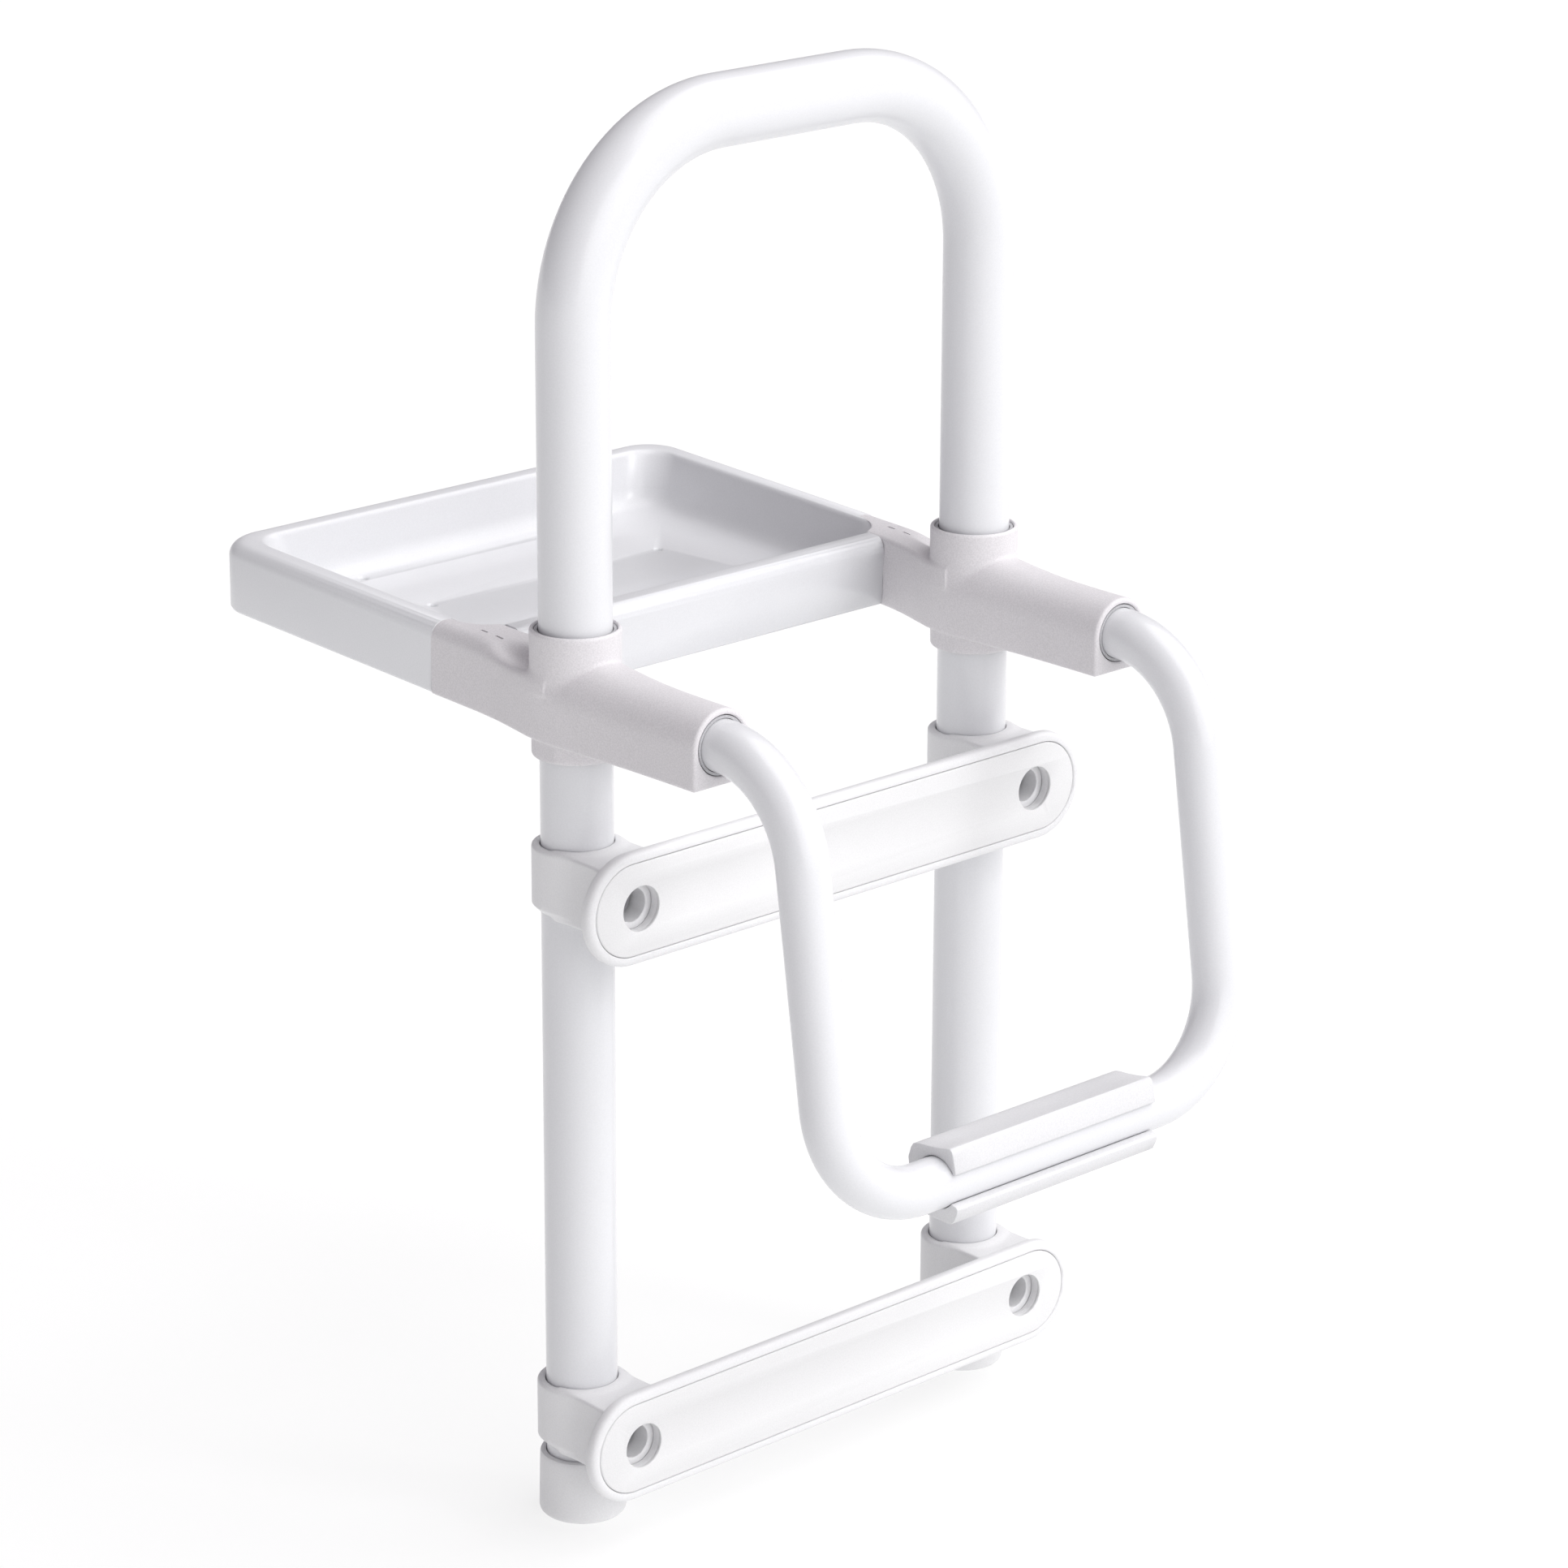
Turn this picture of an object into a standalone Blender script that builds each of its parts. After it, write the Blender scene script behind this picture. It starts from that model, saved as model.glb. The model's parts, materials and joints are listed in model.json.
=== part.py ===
"""Edge-clamping safety rail with a storage tray, modelled as separate pieces.

Frame: metres, +Z up.  x = 0 is the plane of symmetry, y = 0 holds the axes of the two legs,
z = 0 is the flat underside of the two arms, which rests on the rim.  -Y is the side of the bow,
+Y is the side of the tray.
"""
import math

import bmesh
import bpy
from mathutils import Matrix, Vector

# ---- driving dimensions ------------------------------------------------------------------
GAP = 0.0003                    # play left between faces that touch
LEG_X = 0.1185                  # half the distance between the two leg axes
TUBE_RADIUS = 0.016             # grab tube and legs
TUBE_WALL = 0.0015
HANDLE_TOP = 0.2565             # height of the crossbar's axis
HANDLE_BEND = 0.080             # bend radius on the tube's axis
LEG_END = -0.3565

COLLAR_RADIUS = 0.0197
COLLAR_TOP = 0.0480
COLLAR_BOTTOM = -0.0065
LINER_WALL = 0.0013

ARM_HALF = 0.0158               # half the width of an arm, and the radius of its arched top
BOW_AXIS_Z = 0.0173             # height of the bow's axis inside the arms
ARM_MOUTH = -0.0918
BOW_RADIUS = 0.0113
BOW_BORE = 0.0131
BOW_INNER_END = -0.0250
BOW_BEND_START = -0.0925
BOW_BEND = 0.048
BOW_TILT = math.radians(8.3)    # the bow leans away from the legs
BOW_DROP = 0.149
BOW_CORNER = 0.047
BUSH_LENGTH = 0.022
LOCK_Y = -0.080                 # lock screw under each arm
COLLAR_LOCK_Z = 0.0400          # lock screw at the back of each collar

TRAY_HALF = 0.1325
TRAY_FRONT = 0.048
TRAY_REAR = 0.233
TRAY_HEIGHT = 0.0322
TRAY_SLOPE = 0.04               # the tray rises towards its rear edge
SLOPE_START = 0.013
RIM_WIDTH = 0.0125
FLOOR_DEPTH = 0.025             # from the rim down to the tray's floor
SIDE_ARM_INNER = 0.1195
SHOULDER_INNER = 0.1080        # inner side of a bracket between its collar and the tray
SIDE_ARM_END = 0.0795

PLATE_FACE = -0.0415            # front of the brace plates
PLATE_THICK = 0.006
PLATE_HALF = 0.148
PLATE_RADIUS = 0.025
SHEET_BORDER = 0.003
SHEET_POCKET = 0.0015
ACCESS_RADIUS = 0.0103          # key holes in the plates
KEY_BORE_RADIUS = 0.0075
CLAMP_CHAMFER = 0.0045          # bevel round the lower edge of a clamp
NECK_HALF = 0.0168              # half the width of a clamp where it meets its plate
CLAMP_TOP = 0.0195              # above the centre of the plate
CLAMP_BOTTOM = -0.0115
BORE_FLOOR = -0.0196            # where the key bore of a clamp ends
PLATE_SCREW_REACH = 0.0124      # from the leg's axis to each screw that holds a plate
PLATE_SCREW_RISE = 0.0110       # and above the centre of the plate
PLATE_SCREW_HEAD = (0.0036, 0.0022)
BRACE_HEIGHTS = {"upper": -0.0672, "lower": -0.3165}

FERRULE_TOP = -0.3315
FERRULE_BOTTOM = -0.3608

PAD_LEFT, PAD_RIGHT = -0.054, 0.061

PLATE_BACK = PLATE_FACE + PLATE_THICK
CLAMP_FACE = PLATE_BACK + GAP

SIDES = {"left": -1, "right": 1}

# ---- scene set-up ------------------------------------------------------------------------
for old in list(bpy.data.objects):
    bpy.data.objects.remove(old, do_unlink=True)

parts = bpy.data.collections.new("edge_rail")
cutters = bpy.data.collections.new("cutters")
bpy.context.scene.collection.children.link(parts)
bpy.context.scene.collection.children.link(cutters)


def material(name, colour, roughness, metallic=0.0):
    made = bpy.data.materials.new(name)
    made.use_nodes = True
    shader = made.node_tree.nodes["Principled BSDF"]
    shader.inputs["Base Color"].default_value = (*colour, 1.0)
    shader.inputs["Roughness"].default_value = roughness
    shader.inputs["Metallic"].default_value = metallic
    return made


COATED = material("coated_tube", (0.86, 0.87, 0.89), 0.25)
MOULDED = material("moulded_bracket", (0.78, 0.77, 0.77), 0.55)
GLOSSY = material("glossy_tray", (0.88, 0.89, 0.91), 0.2)
BRACE = material("brace_plastic", (0.88, 0.88, 0.88), 0.4)
RUBBER = material("facing_rubber", (0.9, 0.9, 0.9), 0.7)
NYLON = material("bush_nylon", (0.25, 0.25, 0.26), 0.5)
STEEL = material("screw_steel", (0.6, 0.6, 0.62), 0.3, 1.0)


# ---- modelling helpers -------------------------------------------------------------------
def link(obj, home):
    home.objects.link(obj)
    if home is cutters:
        obj.hide_render = True
        obj.display_type = "WIRE"
    return obj


def finished(obj, name, look):
    """Turn an object into a finished part of its own."""
    obj.name = name
    obj.data.name = name
    obj.data.materials.clear()
    obj.data.materials.append(look)
    for home in list(obj.users_collection):
        home.objects.unlink(obj)
    parts.objects.link(obj)
    obj.hide_render = False
    obj.display_type = "TEXTURED"
    obj.data.shade_smooth()
    obj.data.set_sharp_from_angle(angle=math.radians(35))
    return obj


def baked(obj):
    """Mesh copy of an evaluated object with its loose caps welded; the source is removed."""
    bpy.context.view_layer.update()
    graph = bpy.context.evaluated_depsgraph_get()
    mesh = bpy.data.meshes.new_from_object(obj.evaluated_get(graph))
    copy = bpy.data.objects.new(obj.name, mesh)
    copy.matrix_world = obj.matrix_world.copy()
    name = obj.name
    bpy.data.objects.remove(obj, do_unlink=True)
    copy.name = name
    weld(mesh)
    return link(copy, cutters)


def weld(mesh):
    work = bmesh.new()
    work.from_mesh(mesh)
    bmesh.ops.remove_doubles(work, verts=work.verts, dist=0.00001)
    bmesh.ops.recalc_face_normals(work, faces=work.faces)
    work.to_mesh(mesh)
    work.free()


def block(name, low, high):
    low, high = Vector(low), Vector(high)
    bpy.ops.mesh.primitive_cube_add(size=1.0)
    made = bpy.context.object
    made.name = name
    for vertex in made.data.vertices:
        for axis in range(3):
            vertex.co[axis] *= high[axis] - low[axis]
    made.location = (low + high) / 2
    for home in list(made.users_collection):
        home.objects.unlink(made)
    return link(made, cutters)


def rod(name, start, end, radius, end_radius=None, sides=28):
    """Cylinder or cone from one point to another."""
    start, end = Vector(start), Vector(end)
    along = end - start
    bpy.ops.mesh.primitive_cone_add(
        vertices=sides,
        radius1=radius,
        radius2=radius if end_radius is None else end_radius,
        depth=along.length,
    )
    made = bpy.context.object
    made.name = name
    made.location = (start + end) / 2
    made.rotation_mode = "QUATERNION"
    made.rotation_quaternion = Vector((0, 0, 1)).rotation_difference(along)
    for home in list(made.users_collection):
        home.objects.unlink(made)
    return link(made, cutters)


def prism(name, outline, start, end, plane):
    """Outline extruded between two distances along the axis that its plane leaves free."""
    curve = bpy.data.curves.new(name, "CURVE")
    curve.dimensions = "2D"
    curve.fill_mode = "BOTH"
    curve.extrude = abs(end - start) / 2
    spline = curve.splines.new("POLY")
    spline.points.add(len(outline) - 1)
    for point, (across, upward) in zip(spline.points, outline):
        point.co = (across, upward, 0, 1)
    spline.use_cyclic_u = True
    made = bpy.data.objects.new(name, curve)
    bpy.context.scene.collection.objects.link(made)
    middle = (start + end) / 2
    if plane == "XY":
        made.matrix_world = Matrix.Translation((0, 0, middle))
    elif plane == "XZ":
        turn = Matrix(((1, 0, 0, 0), (0, 0, -1, 0), (0, 1, 0, 0), (0, 0, 0, 1)))
        made.matrix_world = Matrix.Translation((0, middle, 0)) @ turn
    else:
        turn = Matrix(((0, 0, 1, 0), (1, 0, 0, 0), (0, 1, 0, 0), (0, 0, 0, 1)))
        made.matrix_world = Matrix.Translation((middle, 0, 0)) @ turn
    return baked(made)


def bent_tube(name, route, radius, sides=18):
    curve = bpy.data.curves.new(name, "CURVE")
    curve.dimensions = "3D"
    curve.bevel_depth = radius
    curve.bevel_resolution = sides // 2 - 2
    curve.use_fill_caps = True
    spline = curve.splines.new("POLY")
    spline.points.add(len(route) - 1)
    for point, place in zip(spline.points, route):
        point.co = (*place, 1)
    made = bpy.data.objects.new(name, curve)
    bpy.context.scene.collection.objects.link(made)
    return baked(made)


def combine(obj, other, operation="DIFFERENCE"):
    change = obj.modifiers.new(f"{operation.lower()}_{other.name}", "BOOLEAN")
    change.operation = operation
    change.solver = "EXACT"
    change.object = other
    return obj


def round_edges(obj, width, segments=2, angle=40):
    change = obj.modifiers.new("rounded_edges", "BEVEL")
    change.width = width
    change.segments = segments
    change.limit_method = "ANGLE"
    change.angle_limit = math.radians(angle)
    change.use_clamp_overlap = True
    return obj


def arc(centre, radius, start, end, steps):
    """Points on an arc of a plane, angles in degrees."""
    made = []
    for step in range(steps + 1):
        angle = math.radians(start + (end - start) * step / steps)
        made.append((centre[0] + radius * math.cos(angle), centre[1] + radius * math.sin(angle)))
    return made


def rounded_rectangle(half_x, low_y, high_y, radius, steps=4):
    corners = [
        ((half_x - radius, high_y - radius), 0),
        ((-half_x + radius, high_y - radius), 90),
        ((-half_x + radius, low_y + radius), 180),
        ((half_x - radius, low_y + radius), 270),
    ]
    made = []
    for centre, turn in corners:
        made += arc(centre, radius, turn, turn + 90, steps)
    return made


def stadium(half_length, radius, centre_z, steps=10):
    reach = half_length - radius
    right = arc((reach, centre_z), radius, -90, 90, steps)
    return right + arc((-reach, centre_z), radius, 90, 270, steps)


def along(origin, direction, distance):
    return Vector(origin) + Vector(direction).normalized() * distance


def cap_screw(name, seat, direction, head, shank, sides=16):
    """Cap screw: the head stands up from the seat, the shank runs in the given direction."""
    head_radius, head_height = head
    shank_radius, shank_length = shank
    back = -Vector(direction).normalized()
    body = rod(name, along(seat, back, head_height), seat, head_radius, sides=sides)
    inside_head = along(seat, back, head_height / 2)
    tip = along(seat, -back, shank_length)
    stem = rod(f"{name}_stem", inside_head, tip, shank_radius, sides=sides)
    key_floor = along(seat, back, head_height * 0.45)
    key = rod(f"{name}_key", along(seat, back, head_height * 1.5), key_floor, head_radius * 0.5, sides=6)
    combine(body, stem, "UNION")
    combine(body, key)
    return body


# ---- routes of the two bent tubes --------------------------------------------------------
def handle_route():
    reach = LEG_X - HANDLE_BEND
    low = HANDLE_TOP - HANDLE_BEND
    points = [(-LEG_X, 0, LEG_END)]
    points += [(x, 0, z) for x, z in arc((-reach, low), HANDLE_BEND, 180, 90, 8)]
    points += [(x, 0, z) for x, z in arc((reach, low), HANDLE_BEND, 90, 0, 8)]
    points.append((LEG_X, 0, LEG_END))
    return points


def bow_half():
    """Right half of the bow, from inside the arm to the foot of its corner."""
    points = [Vector((LEG_X, BOW_INNER_END, BOW_AXIS_Z))]
    turn = 90 - math.degrees(BOW_TILT)
    for y, z in arc((BOW_BEND_START, BOW_AXIS_Z - BOW_BEND), BOW_BEND, 90, 90 + turn, 6):
        points.append(Vector((LEG_X, y, z)))
    down = Vector((0, -math.sin(BOW_TILT), -math.cos(BOW_TILT)))
    heel = points[-1] + down * (BOW_DROP - BOW_CORNER)
    for across, below in arc((LEG_X - BOW_CORNER, 0), BOW_CORNER, 0, 90, 6):
        points.append(Vector((across, heel.y, heel.z)) + down * below)
    return points


def bow_route():
    right = bow_half()
    left = [Vector((-point.x, point.y, point.z)) for point in right]
    return [tuple(point) for point in right + left[::-1]]


BOW_BAR = bow_half()[-1]


# ---- the bent tubes ----------------------------------------------------------------------
def extended(route, extra):
    first = Vector(route[0]) + (Vector(route[0]) - Vector(route[1])).normalized() * extra
    last = Vector(route[-1]) + (Vector(route[-1]) - Vector(route[-2])).normalized() * extra
    return [tuple(first)] + list(route[1:-1]) + [tuple(last)]


def hollow_tube(name, route, radius, look):
    body = bent_tube(name, route, radius)
    bore = bent_tube(f"{name}_bore", extended(route, 0.01), radius - TUBE_WALL, sides=14)
    combine(body, bore)
    return finished(body, name, look)


hollow_tube("handle_tube", handle_route(), TUBE_RADIUS, COATED)
hollow_tube("bow_tube", bow_route(), BOW_RADIUS, COATED)


# ---- the tray ----------------------------------------------------------------------------
def slope_at(y):
    return max(0.0, y - SLOPE_START) * TRAY_SLOPE


def side_outline(grow):
    """Side view of the part of a bracket that carries on the tray's rim, in Y and Z."""
    end = SIDE_ARM_END + grow
    radius = 0.009
    top = TRAY_HEIGHT + slope_at(end) + grow
    points = [(-0.004, -grow), (SLOPE_START, -grow), (end, slope_at(end) - grow)]
    points += arc((end - radius, top - radius), radius, 0, 86, 6)
    points += [(SLOPE_START, TRAY_HEIGHT + grow), (-0.004, TRAY_HEIGHT + grow)]
    return points


def side_arm(name, side, grow=0.0):
    inner, outer = side * (SIDE_ARM_INNER - grow), side * (TRAY_HALF + grow * 4)
    return prism(name, side_outline(grow), min(inner, outer), max(inner, outer), "YZ")


def shoulder(name, side):
    """Part of a bracket that fills the space between its collar and the tray's front wall."""
    low = TRAY_FRONT - GAP
    high = low - GAP - TRAY_HEIGHT * TRAY_SLOPE
    outline = [(-0.004, 0), (SLOPE_START, 0), (low, slope_at(low))]
    outline += [(high, TRAY_HEIGHT + slope_at(high)), (SLOPE_START, TRAY_HEIGHT), (-0.004, TRAY_HEIGHT)]
    ends = side * SHOULDER_INNER, side * (SIDE_ARM_INNER + 0.001)
    return prism(name, outline, min(ends), max(ends), "YZ")


def tilted(obj):
    """Lean a tray solid back about the line where its slope begins."""
    hinge = Matrix.Translation((0, SLOPE_START, 0))
    lean = Matrix.Rotation(math.atan(TRAY_SLOPE), 4, "X")
    obj.matrix_world = hinge @ lean @ hinge.inverted() @ obj.matrix_world
    return obj


def tray_pocket(name, inset, low, high, draft, radius):
    """Tapered hollow: the outline at its bottom is smaller than at its top."""
    body = prism(
        name,
        rounded_rectangle(TRAY_HALF - inset, TRAY_FRONT + inset, TRAY_REAR - inset, radius),
        low,
        high,
        "XY",
    )
    middle_y = (TRAY_FRONT + TRAY_REAR) / 2
    for vertex in body.data.vertices:
        if vertex.co.z < 0:
            vertex.co.x -= math.copysign(draft, vertex.co.x)
            vertex.co.y -= math.copysign(draft, vertex.co.y - middle_y)
    return body


def tray_screw_place(side):
    return side * 0.1230, 0.066


def make_tray():
    body = prism(
        "tray",
        rounded_rectangle(TRAY_HALF, TRAY_FRONT, TRAY_REAR, 0.016),
        0.0,
        TRAY_HEIGHT,
        "XY",
    )
    round_edges(body, 0.0045, 2)
    tilted(body)
    inside = tray_pocket(
        "tray_inside", RIM_WIDTH, TRAY_HEIGHT - FLOOR_DEPTH, TRAY_HEIGHT + 0.02, 0.008, 0.020
    )
    combine(body, tilted(round_edges(inside, 0.005, 2)))
    under = tray_pocket("tray_underside", 0.020, -0.02, TRAY_HEIGHT - FLOOR_DEPTH - 0.003, 0.0, 0.012)
    combine(body, tilted(under))
    for side in SIDES.values():
        combine(body, side_arm(f"tray_notch_{side}", side, GAP))
    for x in (-0.068, 0.068):
        for y in (0.157, 0.206):
            hole = rod(f"drain_{x}_{y}", (x, y, -0.01), (x, y, 0.03), 0.0025, sides=16)
            combine(body, hole)
    for side in SIDES.values():
        x, y = tray_screw_place(side)
        tab = block(
            f"tray_tab_{side}",
            (min(side * 0.1170, side * 0.1280), 0.0565, 0.0022),
            (max(side * 0.1170, side * 0.1280), SIDE_ARM_END + 0.004, 0.0062),
        )
        combine(body, tab, "UNION")
        combine(body, rod(f"tray_hole_{side}", (x, y, -0.01), (x, y, 0.02), 0.0023, sides=20))
        combine(body, rod(f"tray_seat_{side}", (x, y, -0.01), (x, y, 0.0042), 0.0040, sides=20))
    return finished(body, "storage_tray", GLOSSY)


make_tray()


# ---- brackets ----------------------------------------------------------------------------
def arm_outline(side):
    """Front view of an arm: flat underside, straight sides, arched top."""
    corner = 0.003
    centre = side * LEG_X
    points = arc((centre + ARM_HALF - corner, corner), corner, -90, 0, 4)
    points += arc((centre, BOW_AXIS_Z), ARM_HALF, 0, 180, 14)
    points += arc((centre - ARM_HALF + corner, corner), corner, 180, 270, 4)
    return points


def make_bracket(label, side):
    x = side * LEG_X
    body = prism(f"bracket_{label}", arm_outline(side), ARM_MOUTH, 0.010, "XZ")
    round_edges(body, 0.0012, 1, 60)
    combine(body, side_arm(f"side_arm_{label}", side), "UNION")
    combine(body, shoulder(f"shoulder_{label}", side), "UNION")
    collar = rod(f"collar_{label}", (x, 0, COLLAR_BOTTOM), (x, 0, COLLAR_TOP), COLLAR_RADIUS)
    combine(body, collar, "UNION")
    bore_radius = TUBE_RADIUS + LINER_WALL + 2 * GAP
    combine(body, rod(f"leg_bore_{label}", (x, 0, -0.05), (x, 0, 0.1), bore_radius))
    bore_start = (x, BOW_INNER_END + 0.0045, BOW_AXIS_Z)
    combine(body, rod(f"bow_bore_{label}", bore_start, (x, ARM_MOUTH - 0.01, BOW_AXIS_Z), BOW_BORE))
    combine(body, rod(f"arm_screw_hole_{label}", (x, LOCK_Y, -0.01), (x, LOCK_Y, 0.01), 0.0033, sides=20))
    hole_start, hole_end = (x, 0.010, COLLAR_LOCK_Z), (x, 0.030, COLLAR_LOCK_Z)
    combine(body, rod(f"collar_screw_hole_{label}", hole_start, hole_end, 0.0028, sides=20))
    tab_space = block(
        f"tab_space_{label}",
        (min(side * 0.1160, side * 0.1283), 0.0560, -0.010),
        (max(side * 0.1160, side * 0.1283), SIDE_ARM_END + 0.01, 0.0065),
    )
    combine(body, tab_space)
    screw_x, screw_y = tray_screw_place(side)
    pilot = rod(f"pilot_{label}", (screw_x, screw_y, -0.01), (screw_x, screw_y, 0.019), 0.0021, sides=20)
    combine(body, pilot)
    return finished(body, f"{label}_bracket", MOULDED)


def sleeve(name, start, end, inner, outer, look, sides=28):
    body = rod(name, start, end, outer, sides=sides)
    direction = Vector(end) - Vector(start)
    low, high = along(start, -direction, 0.01), along(end, direction, 0.01)
    combine(body, rod(f"{name}_bore", low, high, inner, sides=sides))
    return finished(body, name, look)


for label, side in SIDES.items():
    x = side * LEG_X
    make_bracket(label, side)
    liner = sleeve(
        f"{label}_collar_liner",
        (x, 0, COLLAR_BOTTOM + 0.001),
        (x, 0, COLLAR_TOP - 0.001),
        TUBE_RADIUS + GAP,
        TUBE_RADIUS + GAP + LINER_WALL,
        NYLON,
    )
    combine(
        liner,
        rod(f"liner_hole_{label}", (x, 0.010, COLLAR_LOCK_Z), (x, 0.03, COLLAR_LOCK_Z), 0.0030, sides=20),
    )
    bush = sleeve(
        f"{label}_bow_bush",
        (x, ARM_MOUTH + 0.0006, BOW_AXIS_Z),
        (x, ARM_MOUTH + BUSH_LENGTH, BOW_AXIS_Z),
        BOW_RADIUS + GAP,
        BOW_BORE - GAP,
        NYLON,
    )
    combine(bush, rod(f"bush_hole_{label}", (x, LOCK_Y, -0.01), (x, LOCK_Y, 0.012), 0.0035, sides=20))
    plug = rod(
        f"bow_plug_{label}",
        (x, BOW_INNER_END + GAP, BOW_AXIS_Z),
        (x, BOW_INNER_END + 0.0033, BOW_AXIS_Z),
        BOW_BORE - 2 * GAP,
    )
    spigot = rod(
        f"spigot_{label}",
        (x, BOW_INNER_END + 0.001, BOW_AXIS_Z),
        (x, BOW_INNER_END - 0.014, BOW_AXIS_Z),
        BOW_RADIUS - TUBE_WALL - GAP,
        BOW_RADIUS - TUBE_WALL - 4 * GAP,
        sides=24,
    )
    combine(plug, spigot, "UNION")
    finished(plug, f"{label}_bow_plug", NYLON)


# ---- ferrules ----------------------------------------------------------------------------
for label, side in SIDES.items():
    x = side * LEG_X
    ferrule = rod(f"ferrule_{label}", (x, 0, FERRULE_BOTTOM), (x, 0, FERRULE_TOP), 0.0194, 0.0188)
    round_edges(ferrule, 0.0015, 1)
    combine(ferrule, rod(f"ferrule_bore_{label}", (x, 0, LEG_END - GAP), (x, 0, 0), TUBE_RADIUS + GAP))
    finished(ferrule, f"{label}_ferrule", BRACE)


# ---- pad on the bow ----------------------------------------------------------------------
def pad_outline():
    """Cross-section of the pad about the bow's bar: a C with a long upper and a short lower lip."""
    grip = arc((0, 0), BOW_RADIUS + GAP, -134, 157, 20)
    outer = [
        (-0.0126, 0.0048),
        (-0.0117, 0.0142),
        (-0.0102, 0.0159),
        (-0.0010, 0.0155),
        (0.0095, 0.0160),
        (0.0134, 0.0138),
        (0.0158, 0.0090),
        (0.0158, -0.0090),
        (0.0134, -0.0138),
        (0.0100, -0.0150),
        (-0.0050, -0.0176),
        (-0.0085, -0.0166),
        (-0.0114, -0.0118),
        (-0.0106, -0.0094),
    ]
    turned = []
    for backward, upward in grip + outer:
        y = backward * math.cos(BOW_TILT) + upward * math.sin(BOW_TILT)
        z = upward * math.cos(BOW_TILT) - backward * math.sin(BOW_TILT)
        turned.append((BOW_BAR.y + y, BOW_BAR.z + z))
    return turned


pad = prism("pad", pad_outline(), PAD_LEFT, PAD_RIGHT, "YZ")
finished(pad, "bow_pad", MOULDED)


# ---- braces ------------------------------------------------------------------------------
def clamp_outline(x):
    """Plan of a clamp: round about the leg, with a straight neck towards the plate."""
    turn = math.degrees(math.acos(NECK_HALF / COLLAR_RADIUS))
    points = arc((x, 0), COLLAR_RADIUS, -turn, 180 + turn, 18)
    return points + [(x - NECK_HALF, CLAMP_FACE), (x + NECK_HALF, CLAMP_FACE)]


def clamp_chamfer(tag, x, bottom):
    """Ring that bevels the lower edge of a clamp, behind its neck."""
    top = bottom + CLAMP_CHAMFER
    ring = rod(f"chamfer_{tag}", (x, 0, bottom - 0.001), (x, 0, top), COLLAR_RADIUS * 1.6)
    inner = COLLAR_RADIUS + 0.0002
    slope = rod(f"slope_{tag}", (x, 0, bottom - 0.001), (x, 0, top), inner - CLAMP_CHAMFER * 0.9, inner)
    combine(ring, slope)
    front = block(f"front_{tag}", (x - 0.04, -0.05, bottom - 0.01), (x + 0.04, -0.0095, top + 0.01))
    return combine(ring, front)


def make_clamp(brace, label, side, height):
    x = side * LEG_X
    tag = f"{brace}_{label}"
    body = prism(f"clamp_{tag}", clamp_outline(x), height + CLAMP_BOTTOM, height + CLAMP_TOP, "XY")
    round_edges(body, 0.0015, 1, 60)
    low, high = height - 0.1, height + 0.1
    combine(body, rod(f"clamp_bore_{tag}", (x, 0, low), (x, 0, high), TUBE_RADIUS + GAP))
    combine(body, clamp_chamfer(tag, x, height + CLAMP_BOTTOM))
    combine(body, rod(f"key_bore_{tag}", (x, BORE_FLOOR, height), (x, -0.06, height), KEY_BORE_RADIUS))
    combine(body, rod(f"thread_{tag}", (x, -0.03, height), (x, -0.01, height), 0.0033, sides=20))
    screw_height = height + PLATE_SCREW_RISE
    for way in (-1, 1):
        place = x + way * PLATE_SCREW_REACH
        start, end = (place, -0.05, screw_height), (place, -0.0205, screw_height)
        combine(body, rod(f"plate_pilot_{tag}_{way}", start, end, 0.0023, sides=16))
    return finished(body, f"{brace}_{label}_clamp", MOULDED)


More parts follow.
